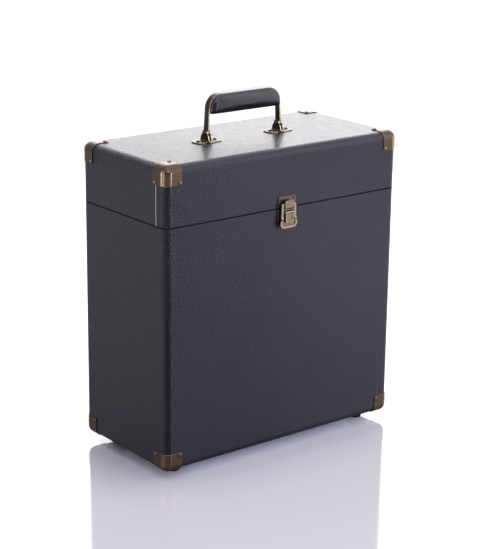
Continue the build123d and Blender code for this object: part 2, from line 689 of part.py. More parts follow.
def hinge_leaf(hinge_x, end, seats):
    """The leaf below (end -1) or above (end 1) the seam, with its own share of the knuckles."""
    own_knuckles = range(0, KNUCKLES, 2) if end < 0 else range(1, KNUCKLES, 2)
    other_knuckles = range(1, KNUCKLES, 2) if end < 0 else range(0, KNUCKLES, 2)
    first_x = hinge_x - HINGE_L / 2 + knuckle_pitch / 2
    knuckle_l = knuckle_pitch - KNUCKLE_GAP
    with BuildPart() as leaf:
        with BuildSketch(back_face):
            with Locations((-hinge_x, SEAM_MID_Z + end * LEAF_H / 2)):
                Rectangle(HINGE_L - KNUCKLE_GAP, LEAF_H)
        extrude(amount=LEAF_T)
        leaf_corners = leaf.edges().filter_by(Axis.Y).sort_by(Axis.Z)
        fillet(leaf_corners[:2] if end < 0 else leaf_corners[-2:], LEAF_CORNER_R)
        for index in own_knuckles:
            with BuildSketch(Plane.YZ.offset(first_x + index * knuckle_pitch)):
                with Locations((hinge_axis_y, SEAM_MID_Z)):
                    Circle(KNUCKLE_R)
            extrude(amount=knuckle_l / 2, both=True)
        for index in other_knuckles:
            with BuildSketch(Plane.YZ.offset(first_x + index * knuckle_pitch)):
                with Locations((hinge_axis_y, SEAM_MID_Z)):
                    Circle(KNUCKLE_R + KNUCKLE_RELIEF)
            extrude(amount=(knuckle_l + 2 * KNUCKLE_GAP) / 2, both=True, mode=Mode.SUBTRACT)
        with BuildSketch(Plane.YZ.offset(hinge_x)):
            with Locations((hinge_axis_y, SEAM_MID_Z)):
                Circle(HINGE_PIN_R + HOLE_CLEAR)
        extrude(amount=HINGE_L, both=True, mode=Mode.SUBTRACT)
        drill(seats, SCREW_R, LEAF_T)
    return leaf.part


for side in SIDES:
    for end, half, seats in ((-1, "body", body_hinge_seats), (1, "lid", lid_hinge_seats)):
        leaf = hinge_leaf(side * HINGE_X, end, seats)
        leaf.label = f"hinge_{SIDE_NAMES[side]}_{half}_leaf"
        export_step(leaf, f"parts/hinge_{SIDE_NAMES[side]}_{half}_leaf.step")
    with BuildPart() as hinge_pin:
        with BuildSketch(Plane.YZ.offset(side * HINGE_X)):
            with Locations((hinge_axis_y, SEAM_MID_Z)):
                Circle(HINGE_PIN_R)
        extrude(amount=(HINGE_L - KNUCKLE_GAP) / 2, both=True)
    hinge_pin.part.label = f"hinge_{SIDE_NAMES[side]}_pin"
    export_step(hinge_pin.part, f"parts/hinge_{SIDE_NAMES[side]}_pin.step")

for half, seats in (("body", body_hinge_seats), ("lid", lid_hinge_seats)):
    with BuildPart() as hinge_screws:
        with Locations(*seats):
            add(hinge_screw)
    hinge_screws.part.label = f"hinge_{half}_screws"
    export_step(hinge_screws.part, f"parts/hinge_{half}_screws.step")

# ------------------------------------------------------------------ latch: base plate on the body
front_y = -CASE_D / 2
lever_pin_y = front_y - LEVER_PIN_OUT
lever_pin_z = SEAM_Z - LEVER_PIN_DROP
yoke_pin_y = front_y - YOKE_PIN_OUT
yoke_pin_z = SEAM_Z - YOKE_PIN_DROP
latch_ear_x = LEVER_W / 2 + LATCH_SIDE_GAP + LATCH_EAR_T / 2
with BuildPart() as latch_base:
    with BuildSketch(front_face):
        with Locations((0, SEAM_Z - (BASE_DROP + BASE_GAP) / 2)):
            RectangleRounded(LATCH_W, BASE_DROP - BASE_GAP, LATCH_CORNER_R)
    extrude(amount=LATCH_PLATE_T)
    fillet(latch_base.faces().sort_by(Axis.Y)[0].edges(), LATCH_EDGE_R)
    for side in SIDES:
        with BuildSketch(Plane.YZ.offset(side * latch_ear_x)):
            with Locations((lever_pin_y, lever_pin_z)):
                Circle(LATCH_EAR_R)
            with Locations(((lever_pin_y + front_y) / 2, lever_pin_z)):
                Rectangle(LEVER_PIN_OUT, 2 * LATCH_EAR_R)
        extrude(amount=LATCH_EAR_T / 2, both=True)
    with BuildSketch(Plane.YZ):
        with Locations((lever_pin_y, lever_pin_z)):
            Circle(LATCH_PIN_R + HOLE_CLEAR)
    extrude(amount=LEVER_W, both=True, mode=Mode.SUBTRACT)
    drill(base_rivet_seats, RIVET_R, LATCH_PLATE_T)
latch_base.part.label = "latch_base"
export_step(latch_base.part, "parts/latch_base.step")

with BuildPart() as latch_base_rivets:
    with Locations(*base_rivet_seats):
        add(rivet)
latch_base_rivets.part.label = "latch_base_rivets"
export_step(latch_base_rivets.part, "parts/latch_base_rivets.step")

with BuildPart() as latch_lever_pin:
    with BuildSketch(Plane.YZ):
        with Locations((lever_pin_y, lever_pin_z)):
            Circle(LATCH_PIN_R)
    extrude(amount=latch_ear_x + LATCH_EAR_T / 2, both=True)
latch_lever_pin.part.label = "latch_lever_pin"
export_step(latch_lever_pin.part, "parts/latch_lever_pin.step")

# ------------------------------------------------------------------ latch: lever
# A folded channel that turns between the base plate's ears, with a flared pull at its foot.
lever_front_y = front_y - LEVER_OUT
lever_back_y = lever_pin_y + LEVER_EYE_R
lever_top_z = lever_pin_z + LEVER_EYE_R
lever_foot_z = SEAM_Z - LEVER_FOOT_DROP
pull_top_z = SEAM_Z - PULL_TOP_DROP
pull_foot_z = SEAM_Z - PULL_FOOT_DROP
pull_flare_z = pull_top_z - PULL_FLARE_H


def pull_outline(inset):
    """The pull's flared outline, drawn in by inset on every side but its top."""
    top_half = PULL_TOP_W / 2 - inset
    half = PULL_W / 2 - inset
    foot = pull_foot_z + inset
    with BuildSketch(front_face.offset(PULL_IN)) as outline:
        with BuildLine():
            Polyline(
                (-top_half, pull_top_z),
                (-half, pull_flare_z),
                (-half, foot),
                (half, foot),
                (half, pull_flare_z),
                (top_half, pull_top_z),
                close=True,
            )
        make_face()
        corners = outline.vertices().group_by(Axis.Y)
        fillet(corners[0], PULL_CORNER_R - inset)
        fillet(corners[1], PULL_FLARE_H)
    return outline.sketch


pull_plate = pull_outline(0)
with BuildSketch(front_face.offset(PULL_IN)) as pull_rim:
    add(pull_plate)
    add(pull_outline(PULL_RIM_W), mode=Mode.SUBTRACT)

with BuildPart() as latch_lever:
    with BuildSketch(Plane.YZ):
        with BuildLine():
            CenterArc((lever_pin_y, lever_pin_z), LEVER_EYE_R, 0, 90)
            Polyline(
                (lever_pin_y, lever_top_z),
                (lever_front_y, lever_top_z),
                (lever_front_y, lever_foot_z),
                (lever_back_y, lever_foot_z),
                (lever_back_y, lever_pin_z),
            )
        make_face()
    extrude(amount=LEVER_W / 2, both=True)
    nose = latch_lever.edges().filter_by(Axis.X).group_by(Axis.Z)[-1].sort_by(Axis.Y)[0]
    fillet(nose, LEVER_NOSE_R)
    foot_corners = latch_lever.edges().filter_by(Axis.Y).group_by(Axis.Z)[0]
    fillet(foot_corners, LEVER_NOSE_R)
    fillet(latch_lever.faces().filter_by(Axis.Y).sort_by(Axis.Y)[0].edges(), LATCH_EDGE_R)
    extrude(pull_plate, amount=PULL_T)
    extrude(pull_rim.sketch, amount=PULL_T + PULL_RIM_H)
    with BuildSketch(front_face):
        with Locations((0, SEAM_Z - LEVER_FOOT_DROP / 2)):
            Rectangle(LEVER_W - 2 * LEVER_WALL, LEVER_FOOT_DROP)
    extrude(amount=LEVER_OUT - LEVER_WALL, mode=Mode.SUBTRACT)
    with BuildSketch(front_face.offset(LEVER_OUT)):
        with Locations((0, (lever_top_z + lever_foot_z) / 2)):
            RectangleRounded(
                LEVER_W - 2 * LEVER_PANEL_IN,
                lever_top_z - lever_foot_z - 2 * LEVER_PANEL_IN,
                LEVER_PANEL_D,
            )
    extrude(amount=-LEVER_PANEL_D, mode=Mode.SUBTRACT)
    with BuildSketch(Plane.YZ):
        with Locations((lever_pin_y, lever_pin_z)):
            Circle(LATCH_PIN_R + PIN_CLEAR)
        with Locations((yoke_pin_y, yoke_pin_z)):
            Circle(LATCH_PIN_R + HOLE_CLEAR)
    extrude(amount=LEVER_W, both=True, mode=Mode.SUBTRACT)
latch_lever.part.label = "latch_lever"
export_step(latch_lever.part, "parts/latch_lever.step")

with BuildPart() as latch_yoke_pin:
    with BuildSketch(Plane.YZ):
        with Locations((yoke_pin_y, yoke_pin_z)):
            Circle(LATCH_PIN_R)
    extrude(amount=YOKE_W / 2, both=True)
latch_yoke_pin.part.label = "latch_yoke_pin"
export_step(latch_yoke_pin.part, "parts/latch_yoke_pin.step")

# ------------------------------------------------------------------ latch: yoke
# Two arms on the lever's outer pin, joined by a tie under the hook and by a bar over its root.
# The bar is cut short on each side of the hook, so that the lid can turn by itself.
yoke_top_z = SEAM_Z + YOKE_BAR_BASE + YOKE_BAR_H
arm_in_x = YOKE_W / 2 - YOKE_ARM_W
tie_foot_z = SEAM_Z - YOKE_TIE_DROP
with BuildPart() as latch_yoke:
    with BuildSketch(front_face.offset(YOKE_IN)) as yoke_outline:
        with Locations((0, (yoke_pin_z + yoke_top_z) / 2)):
            Rectangle(YOKE_W, yoke_top_z - yoke_pin_z)
        fillet(yoke_outline.vertices().group_by(Axis.Y)[-1], YOKE_CORNER_R)
        with Locations((0, (yoke_pin_z + tie_foot_z) / 2)):
            Rectangle(2 * arm_in_x, tie_foot_z - yoke_pin_z, mode=Mode.SUBTRACT)
        with Locations((0, (tie_foot_z + YOKE_TIE_H + SEAM_Z + YOKE_BAR_BASE) / 2)):
            RectangleRounded(
                2 * arm_in_x,
                SEAM_Z + YOKE_BAR_BASE - tie_foot_z - YOKE_TIE_H,
                YOKE_OPENING_R,
                mode=Mode.SUBTRACT,
            )
        with Locations((0, yoke_top_z)):
            Rectangle(HOOK_W + 2 * HOOK_SIDE_CLEAR, 2 * YOKE_BAR_H, mode=Mode.SUBTRACT)
    extrude(amount=YOKE_T)
    arm_front_edges = latch_yoke.faces().sort_by(Axis.Y)[0].edges().filter_by(Axis.Z).sort_by(Axis.X)
    fillet([arm_front_edges[0], arm_front_edges[-1]], YOKE_EDGE_R)
    with BuildSketch(front_face):
        with Locations((0, tie_foot_z + YOKE_TIE_H / 2)):
            Rectangle(2 * arm_in_x, 2 * YOKE_TIE_H)
    extrude(amount=YOKE_IN + YOKE_T - YOKE_TIE_T, mode=Mode.SUBTRACT)
    for side in SIDES:
        with BuildSketch(Plane.YZ.offset(side * (arm_in_x + YOKE_ARM_W / 2))):
            with Locations((yoke_pin_y, yoke_pin_z)):
                Circle(YOKE_EYE_R)
        extrude(amount=YOKE_ARM_W / 2, both=True)
    with BuildSketch(Plane.YZ):
        with Locations((yoke_pin_y, yoke_pin_z)):
            Circle(LATCH_PIN_R + PIN_CLEAR)
    extrude(amount=YOKE_W, both=True, mode=Mode.SUBTRACT)
latch_yoke.part.label = "latch_yoke"
export_step(latch_yoke.part, "parts/latch_yoke.step")

# ------------------------------------------------------------------ latch: keeper on the lid
keeper_foot_z = LID_Z + BASE_GAP
keeper_top_z = SEAM_Z + KEEPER_RISE
hook_root_z = SEAM_Z + HOOK_ROOT_RISE
with BuildPart() as latch_keeper:
    with BuildSketch(front_face):
        with Locations((0, (keeper_foot_z + keeper_top_z) / 2)):
            RectangleRounded(LATCH_W, keeper_top_z - keeper_foot_z, LATCH_CORNER_R)
    extrude(amount=LATCH_PLATE_T)
    fillet(latch_keeper.faces().sort_by(Axis.Y)[0].edges(), LATCH_EDGE_R)
    with BuildSketch(front_face):
        with Locations((0, hook_root_z + HOOK_T / 2)):
            Rectangle(HOOK_W, HOOK_T)
    extrude(amount=HOOK_OUT)
    with BuildSketch(front_face.offset(HOOK_OUT - HOOK_T)) as hook_outline:
        with Locations((0, SEAM_Z + (HOOK_FOOT_RISE + HOOK_RISE) / 2)):
            Rectangle(HOOK_W, HOOK_RISE - HOOK_FOOT_RISE)
        fillet(hook_outline.vertices().group_by(Axis.Y)[-1], HOOK_CORNER_R)
    extrude(amount=HOOK_T)
    fillet(latch_keeper.faces().sort_by(Axis.Y)[0].edges(), LATCH_EDGE_R)
    drill(keeper_rivet_seats, RIVET_R, LATCH_PLATE_T)
latch_keeper.part.label = "latch_keeper"
export_step(latch_keeper.part, "parts/latch_keeper.step")

with BuildPart() as latch_keeper_rivets:
    with Locations(*keeper_rivet_seats):
        add(rivet)
latch_keeper_rivets.part.label = "latch_keeper_rivets"
export_step(latch_keeper_rivets.part, "parts/latch_keeper_rivets.step")
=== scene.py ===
import json
import math
import random

import bmesh
import bpy
from mathutils import Matrix, Vector, noise


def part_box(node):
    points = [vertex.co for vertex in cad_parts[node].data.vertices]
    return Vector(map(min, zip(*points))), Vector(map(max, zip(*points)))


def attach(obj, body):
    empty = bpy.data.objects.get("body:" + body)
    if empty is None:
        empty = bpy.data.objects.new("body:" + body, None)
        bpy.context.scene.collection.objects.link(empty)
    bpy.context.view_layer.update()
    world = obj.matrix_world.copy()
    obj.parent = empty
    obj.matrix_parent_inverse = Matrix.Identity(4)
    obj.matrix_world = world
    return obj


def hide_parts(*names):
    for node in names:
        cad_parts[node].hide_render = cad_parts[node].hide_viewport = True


# A carrying case for long-playing records. The CAD model is the frame: +X to the case's right,
# -Y towards its front, +Z up, metres, the origin on the floor under the middle of the case.
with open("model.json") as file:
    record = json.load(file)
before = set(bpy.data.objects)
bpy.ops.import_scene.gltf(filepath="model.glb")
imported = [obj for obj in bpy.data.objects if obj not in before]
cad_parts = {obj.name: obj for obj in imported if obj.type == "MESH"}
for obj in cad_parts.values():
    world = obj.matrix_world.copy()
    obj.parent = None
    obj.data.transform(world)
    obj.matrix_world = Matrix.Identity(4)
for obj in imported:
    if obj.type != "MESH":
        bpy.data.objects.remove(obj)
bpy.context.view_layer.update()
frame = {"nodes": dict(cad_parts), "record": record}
scene = bpy.context.scene
scene.view_settings.view_transform = "Standard"

MM = 0.001
UP = Vector((0, 0, 1))
DOWN = Vector((0, 0, -1))
BACK = Vector((0, 1, 0))

# ------------------------------------------------------------------ places read from the frame
lid_low, lid_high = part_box("lid_cover")
grip_low, grip_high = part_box("handle_grip")
strap_low, strap_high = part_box("handle_strap")
corner_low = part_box("corner_top_front_left")[0]
LEFT_X = lid_low.x
FRONT_Y = lid_low.y
RIM_Z = lid_low.z

# ------------------------------------------------------------------ sizes of the added pieces
STRAP_T = 1.8 * MM
STRAP_BEND_R = 17 * MM  # on the strap's middle
LEG_STAND = 16 * MM  # how far above the lid each leg stays upright
LEG_LEAN = 2.2 * MM  # how far it leans in from there to the top
CHANNEL_CLEAR = 0.25 * MM  # pad to the strap's edges
CHANNEL_MARGIN = 10 * MM  # how far the channel's cutter reaches past the strap
BEND_STEPS = 12
GRIP_SLIM = 0.93  # how much slimmer the pad starts than it ends
GRIP_VOXEL = 1.3 * MM
GRIP_SWELL = 1.3 * MM  # furthest that stuffing may push the leather out
STUFFING_FRAMES = 20
STITCH_PITCH = 3.2 * MM
STITCH_L = 2.3 * MM
THREAD_R = 0.28 * MM
STITCH_OUT = 1.35 * MM  # from the seam's middle
STITCH_SINK = 0.05 * MM
SEAM_W = 1.1 * MM
SEAM_END = 7 * MM  # how far the seam stops short of the pad's ends
SEAM_SECTION = (  # across the seam and up from the pad's underside
    (-SEAM_W / 2, 0.3 * MM),
    (-SEAM_W / 3, -0.28 * MM),
    (0, -0.14 * MM),
    (SEAM_W / 3, -0.28 * MM),
    (SEAM_W / 2, 0.3 * MM),
)
WRAP_EDGE_Y = FRONT_Y + 18.2 * MM  # where the lid's covering ends on its left side
WRAP_RUN = 7 * MM
WRAP_T = 0.5 * MM
WRAP_WAVE = 0.35 * MM
WRAP_END_GAP = 0.9 * MM  # its lower end above the seam
WRAP_LAP = 1.2 * MM  # how far its upper end goes under the corner
WRAP_ROWS = 40
WRAP_SECTION = (  # towards the case's front, and out in thicknesses of the covering
    (-WRAP_RUN, -0.2),
    (-WRAP_RUN * 0.55, 0.18),
    (-2.0 * MM, 0.8),
    (-1.5 * MM, 1.0),
    (-0.1 * MM, 0.7),
    (0, 0.4),
    (0, -0.4),
)
CUT_FACE = 3  # the section's step that is the skived cut, painted pale as a highlight
WOOD_SCREW = (2.8 * MM, 1.7 * MM)  # the head's radius and height
HINGE_SCREW = (2.2 * MM, 0.9 * MM)
SLOT_L = 1.25  # a cross recess's blade, in radii of the head
SLOT_W = 0.26
SLOT_TAPER = 0.55  # its tip to its mouth
SLOT_LIFT = 0.35  # its middle over the crown, in heights of the head
WELD_REACH = 0.001 * MM


# ------------------------------------------------------------------ node helpers
def new_material(name):
    """A material, its node tree and its shader."""
    material = bpy.data.materials.new(name)
    material.use_nodes = True
    return material, material.node_tree, material.node_tree.nodes["Principled BSDF"]


def node(tree, kind, inputs=None, **settings):
    """A new node with its settings made and its inputs set or linked."""
    made = tree.nodes.new(kind)
    for name, value in settings.items():
        setattr(made, name, value)
    for name, value in (inputs or {}).items():
        if isinstance(value, bpy.types.NodeSocket):
            tree.links.new(value, made.inputs[name])
        else:
            made.inputs[name].default_value = value
    return made


def math_node(tree, operation, *values):
    """The result of one Math operation on sockets or numbers."""
    return node(tree, "ShaderNodeMath", dict(enumerate(values)), operation=operation).outputs[0]


def product(tree, value, *others):
    """Sockets or numbers multiplied together."""
    for other in others:
        value = math_node(tree, "MULTIPLY", value, other)
    return value


def vector_node(tree, operation, *values):
    """One Vector Math operation's outputs."""
    return node(tree, "ShaderNodeVectorMath", dict(enumerate(values)), operation=operation).outputs


def dot_with(tree, vector, axis):
    """The part of a vector socket that lies along axis."""
    return vector_node(tree, "DOT_PRODUCT", vector, axis)["Value"]


def parts_of(tree, vector):
    """A vector socket's X, Y and Z."""
    return node(tree, "ShaderNodeSeparateXYZ", {0: vector}).outputs


def open_sky(tree, reach, samples):
    """1 in the open, and less where something within reach covers the surface."""
    return node(tree, "ShaderNodeAmbientOcclusion", {"Distance": reach}, samples=samples).outputs["AO"]


def object_place(tree, stretch=None):
    """The point on the piece in metres, optionally stretched along its axes."""
    place = node(tree, "ShaderNodeTexCoord").outputs["Object"]
    if stretch is None:
        return place
    return node(tree, "ShaderNodeMapping", {"Vector": place, "Scale": stretch}).outputs[0]


def noise_field(tree, place, scale, detail=3.0, roughness=0.5):
    """Cloudy noise from 0 to 1, scale being features per metre."""
    inputs = {"Vector": place, "Scale": scale, "Detail": detail, "Roughness": roughness}
    return node(tree, "ShaderNodeTexNoise", inputs).outputs["Fac"]


def blend_colours(tree, factor, *stops):
    """A colour ramp through (position, colour) stops."""
    ramp = node(tree, "ShaderNodeValToRGB", {"Fac": factor})
    elements = ramp.color_ramp.elements
    while len(elements) < len(stops):
        elements.new(0.5)
    for element, (position, colour) in zip(elements, stops):
        element.position = position
        element.color = (*colour, 1)
    return ramp.outputs["Color"]


def remap(tree, value, low, high, start=0.0, end=1.0):
    """value's range start..end mapped to low..high."""
    inputs = {"Value": value, "From Min": start, "From Max": end, "To Min": low, "To Max": high}
    return node(tree, "ShaderNodeMapRange", inputs).outputs["Result"]


def bump(tree, height, distance, strength, normal=None):
    """A normal bumped by height, distance being its depth in metres."""
    inputs = {"Height": height, "Distance": distance, "Strength": strength}
    if normal is not None:
        inputs["Normal"] = normal
    return node(tree, "ShaderNodeBump", inputs).outputs["Normal"]


def connect(tree, shader, **sockets):
    """Link or set the shader's inputs, an underscore standing for a space."""
    for name, value in sockets.items():
        socket = shader.inputs[name.replace("_", " ")]
        if isinstance(value, bpy.types.NodeSocket):
            tree.links.new(value, socket)
        else:
            socket.default_value = value


# ------------------------------------------------------------------ materials
PEBBLE_DEPTH = 1.5 * MM
TURN_IN = (0.7 * MM, 1.2 * MM)  # from the seam: where the leatherette goes from dull to glossy
BRASS_EDGE_R = 0.7 * MM
# How far brass looks for parts that cover it; it is darker there, from patina in the hollows and painted
# shade.
PATINA_AND_SHADE_REACH = 4 * MM
# How far the latch's parts stand out from the front, in millimetres, as ramps from start to end.
LATCH_LEVEL = (2.0, 3.5)
YOKE_FROM, YOKE_TO = (4.8, 5.1), (5.95, 6.2)  # the yoke and the pull's rim
LEVER_RIM = (6.6, 6.9)


def leatherette():
    """Black leatherette with a navy cast: pebbles, upright creases, dull where turned in at the seam."""
    material, tree, shader = new_material("leatherette")
    place = object_place(tree)
    pebbles = noise_field(tree, place, 520.0, 2.0, 0.5)
    fine = noise_field(tree, place, 1300.0, 2.0, 0.6)
    creases = noise_field(tree, object_place(tree, (1.0, 1.0, 0.3)), 110.0, 3.0, 0.55)
    cloud = noise_field(tree, place, 16.0, 4.0)
    parts = parts_of(tree, place)
    pressed = product(
        tree,
        remap(tree, parts["X"], 1.0, 0.3, LEFT_X, 0.0),
        remap(tree, parts["Z"], 0.1, 1.0, 0.0, RIM_Z),
    )
    grained = bump(tree, pebbles, PEBBLE_DEPTH, pressed, bump(tree, fine, 0.16 * MM, 0.5))
    from_seam = math_node(tree, "ABSOLUTE", math_node(tree, "SUBTRACT", parts["Z"], RIM_Z))
    open_face = remap(tree, from_seam, 0.0, 1.0, *TURN_IN)
    gloss = remap(tree, creases, 0.30, 0.37, 0.3, 0.7)
    connect(
        tree,
        shader,
        Base_Color=blend_colours(
            tree, cloud, (0.3, (0.0055, 0.0052, 0.0165)), (0.7, (0.009, 0.0085, 0.024))
        ),
        Roughness=math_node(tree, "MAXIMUM", gloss, remap(tree, open_face, 1.0, 0.3)),
        Specular_Tint=(0.86, 0.84, 1.0, 1),
        Normal=bump(tree, creases, 0.5 * MM, 0.22, grained),
        Coat_Weight=remap(tree, open_face, 0.0, 0.32),
        Coat_Roughness=0.16,
    )
    return material


def cut_face_highlight():
    """The leatherette's cut face, painted pale with paper fibres as a highlight along the covering's
    edge.
    """
    material, tree, shader = new_material("cut_face_highlight")
    fibres = noise_field(tree, object_place(tree), 900.0, 3.0, 0.7)
    connect(
        tree,
        shader,
        Base_Color=blend_colours(
            tree, fibres, (0.35, (0.55, 0.52, 0.55)), (0.65, (0.85, 0.82, 0.84))
        ),
        Roughness=0.8,
    )
    return material


def latch_rims(tree):
    """Lighter on the latch's raised parts, its yoke and the rims of its pull and lever, by how far out
    they stand: partly wear and partly a painted highlight.
    """
    depth = parts_of(tree, object_place(tree))["Y"]
    out = product(tree, math_node(tree, "SUBTRACT", FRONT_Y, depth), 1 / MM)
    raised = remap(tree, out, 0.0, 0.16, *LATCH_LEVEL)
    yoke_and_pull = math_node(
        tree,
        "MINIMUM",
        remap(tree, out, 0.0, 0.2, *YOKE_FROM),
        remap(tree, out, 0.2, 0.0, *YOKE_TO),
    )
    rims = math_node(tree, "MAXIMUM", yoke_and_pull, remap(tree, out, 0.0, 0.2, *LEVER_RIM))
    return math_node(tree, "ADD", raised, rims)


def turned_parts(tree):
    """The size of the normal's part along each axis."""
    normal = node(tree, "ShaderNodeNewGeometry").outputs["Normal"]
    return parts_of(tree, vector_node(tree, "ABSOLUTE", normal)[0])


def painted_edge_highlight(tree):
    """1 on the front and back edges of a strip, which are painted light there as a highlight."""
    return remap(tree, turned_parts(tree)["Y"], 0.0, 1.0, 0.8, 0.95)


def upright_bends(tree):
    """Wear where a pressed plate bends round an upright edge of the case, most on the lid."""
    parts = turned_parts(tree)
    turned = remap(tree, math_node(tree, "MINIMUM", parts["X"], parts["Y"]), 0.0, 0.7, 0.03, 0.15)
    upright = remap(tree, parts["Z"], 1.0, 0.0, 0.1, 0.5)
    height = parts_of(tree, object_place(tree))["Z"]
    return product(tree, turned, upright, remap(tree, height, 0.3, 1.0, RIM_Z / 3, RIM_Z))


def antique_brass(name, wear_and_painted_highlight, *tones):
    """Aged brass from dark tones to its worn edges, darker where nearby parts cover it as patina in the
    hollows and painted shade; rubbed gives where else it is lighter, from wear on some parts and a
    painted highlight on others.
    """
    material, tree, shader = new_material(name)
    place = object_place(tree)
    mottle = noise_field(tree, place, 300.0, 4.0, 0.6)
    brushed = noise_field(tree, object_place(tree, (1.0, 1.0, 0.12)), 1500.0, 2.0)
    rounded = node(tree, "ShaderNodeBevel", {"Radius": BRASS_EDGE_R}, samples=8).outputs["Normal"]
    flat_normal = node(tree, "ShaderNodeNewGeometry").outputs["Normal"]
    likeness = dot_with(tree, rounded, flat_normal)
    edge = math_node(tree, "MAXIMUM", remap(tree, likeness, 0.6, 0.0, 0.8, 0.985), wear_and_painted_highlight(tree))
    # Darker where nearby parts cover it: patina in the hollows and painted shade.
    wear = product(
        tree,
        math_node(tree, "ADD", remap(tree, mottle, 0.32, 0.44, 0.3, 0.7), edge),
        remap(tree, open_sky(tree, PATINA_AND_SHADE_REACH, 8), 0.3, 1.0, 0.4, 0.95),
    )
    connect(
        tree,
        shader,
        Metallic=1.0,
        Base_Color=blend_colours(tree, wear, *tones),
        Roughness=remap(tree, wear, 0.42, 0.25, 0.2, 0.9),
        Normal=bump(tree, brushed, 0.04 * MM, 0.05, rounded),
        Coat_Weight=0.5,
        Coat_Roughness=0.15,
    )
    return material


def smooth_leather():
    """The handle's thin, smooth, slightly shiny leather."""
    material, tree, shader = new_material("smooth_leather")
    place = object_place(tree)
    pores = node(
        tree, "ShaderNodeTexVoronoi", {"Vector": place, "Scale": 1500.0}, feature="F1"
    ).outputs["Distance"]
    creases = noise_field(tree, place, 420.0, 4.0, 0.6)
    fine = bump(tree, pores, 0.12 * MM, 0.2)
    connect(
        tree,
        shader,
        Base_Color=blend_colours(
            tree, creases, (0.35, (0.010, 0.0095, 0.017)), (0.7, (0.016, 0.015, 0.026))
        ),
        Roughness=remap(tree, creases, 0.28, 0.38, 0.3, 0.7),
        Specular_Tint=(0.92, 0.9, 1.0, 1),
        Normal=bump(tree, creases, 0.15 * MM, 0.15, fine),
        Coat_Weight=0.7,
        Coat_Roughness=0.26,
    )
    return material


def lining_cloth():
    """Black brushed cloth with a short nap."""
    material, tree, shader = new_material("lining_cloth")
    place = object_place(tree)
    nap = noise_field(tree, place, 1600.0, 3.0, 0.7)
    drift = noise_field(tree, place, 22.0, 3.0)
    tone = product(tree, nap, drift)
    connect(
        tree,
        shader,
        Base_Color=blend_colours(
            tree, tone, (0.1, (0.016, 0.016, 0.019)), (0.5, (0.05, 0.05, 0.056))
        ),
        Roughness=0.95,
        Sheen_Weight=0.35,
        Sheen_Roughness=0.4,
        Normal=bump(tree, nap, 0.25 * MM, 0.5),
    )
    return material


def wrapped_card():
    """Card strips covered in black paper with a linen emboss."""
    material, tree, shader = new_material("wrapped_card")
    place = object_place(tree)
    threads = [
        node(
            tree,
            "ShaderNodeTexWave",
            {"Vector": place, "Scale": 260.0, "Distortion": 0.6, "Detail": 1.0},
            bands_direction=direction,
        ).outputs["Fac"]
        for direction in ("X", "Y", "Z")
    ]
    weave = math_node(tree, "ADD", math_node(tree, "ADD", threads[0], threads[1]), threads[2])
    wear = noise_field(tree, place, 60.0, 4.0)
    connect(
        tree,
        shader,
        Base_Color=blend_colours(
            tree, wear, (0.3, (0.018, 0.018, 0.02)), (0.75, (0.032, 0.031, 0.035))
        ),
        Roughness=remap(tree, wear, 0.5, 0.68),
        Normal=bump(tree, weave, 0.12 * MM, 0.3),
    )
    return material


def plywood():
    """Birch plywood: long grain with pale and dark plies."""
    material, tree, shader = new_material("plywood")
    grain = noise_field(tree, object_place(tree, (1.0, 1.0, 0.08)), 240.0, 5.0, 0.6)
    plies = node(
        tree,
        "ShaderNodeTexWave",
        {"Vector": object_place(tree), "Scale": 190.0, "Distortion": 0.3},
        bands_direction="DIAGONAL",
    ).outputs["Fac"]
    tone = math_node(tree, "ADD", product(tree, plies, 0.3), grain)
    connect(
        tree,
        shader,
        Base_Color=blend_colours(
            tree, tone, (0.3, (0.36, 0.24, 0.13)), (0.9, (0.62, 0.47, 0.30))
        ),
        Roughness=remap(tree, grain, 0.55, 0.75),
        Normal=bump(tree, grain, 0.2 * MM, 0.25),
    )
    return material


def black_rubber():
    """Matt moulded rubber with dust in its pores."""
    material, tree, shader = new_material("black_rubber")
    specks = noise_field(tree, object_place(tree), 900.0, 4.0, 0.7)
    connect(
        tree,
        shader,
        Base_Color=blend_colours(
            tree, specks, (0.4, (0.012, 0.012, 0.013)), (0.8, (0.03, 0.03, 0.032))
        ),
        Roughness=remap(tree, specks, 0.6, 0.85),
        Normal=bump(tree, specks, 0.15 * MM, 0.3),
    )
    return material


def zinc_steel():
    """Zinc-plated steel, faintly clouded."""
    material, tree, shader = new_material("zinc_steel")
    cloud = noise_field(tree, object_place(tree), 500.0, 4.0)
    connect(
        tree,
        shader,
        Metallic=1.0,
        Base_Color=blend_colours(
            tree, cloud, (0.3, (0.42, 0.42, 0.43)), (0.8, (0.60, 0.60, 0.60))
        ),
        Roughness=remap(tree, cloud, 0.28, 0.45),
    )
    return material


def moulded_core():
    """Grey moulded plastic."""
    material, tree, shader = new_material("moulded_core")
    grain = noise_field(tree, object_place(tree), 700.0, 3.0)
    connect(
        tree,
        shader,
        Base_Color=blend_colours(
            tree, grain, (0.3, (0.10, 0.10, 0.10)), (0.7, (0.14, 0.14, 0.14))
        ),
        Roughness=remap(tree, grain, 0.45, 0.6),
        Normal=bump(tree, grain, 0.05 * MM, 0.2),
    )
    return material


def waxed_thread():
    """Dark waxed thread with a twist."""
    material, tree, shader = new_material("waxed_thread")
    twist = node(
        tree,
        "ShaderNodeTexWave",
        {"Vector": object_place(tree), "Scale": 700.0, "Distortion": 1.0},
        bands_direction="DIAGONAL",
    ).outputs["Fac"]
    connect(
        tree,
        shader,
        Base_Color=blend_colours(
            tree, twist, (0.2, (0.012, 0.012, 0.014)), (0.9, (0.045, 0.043, 0.05))
        ),
        Roughness=remap(tree, twist, 0.45, 0.65),
        Normal=bump(tree, twist, 0.08 * MM, 0.5),
    )
    return material


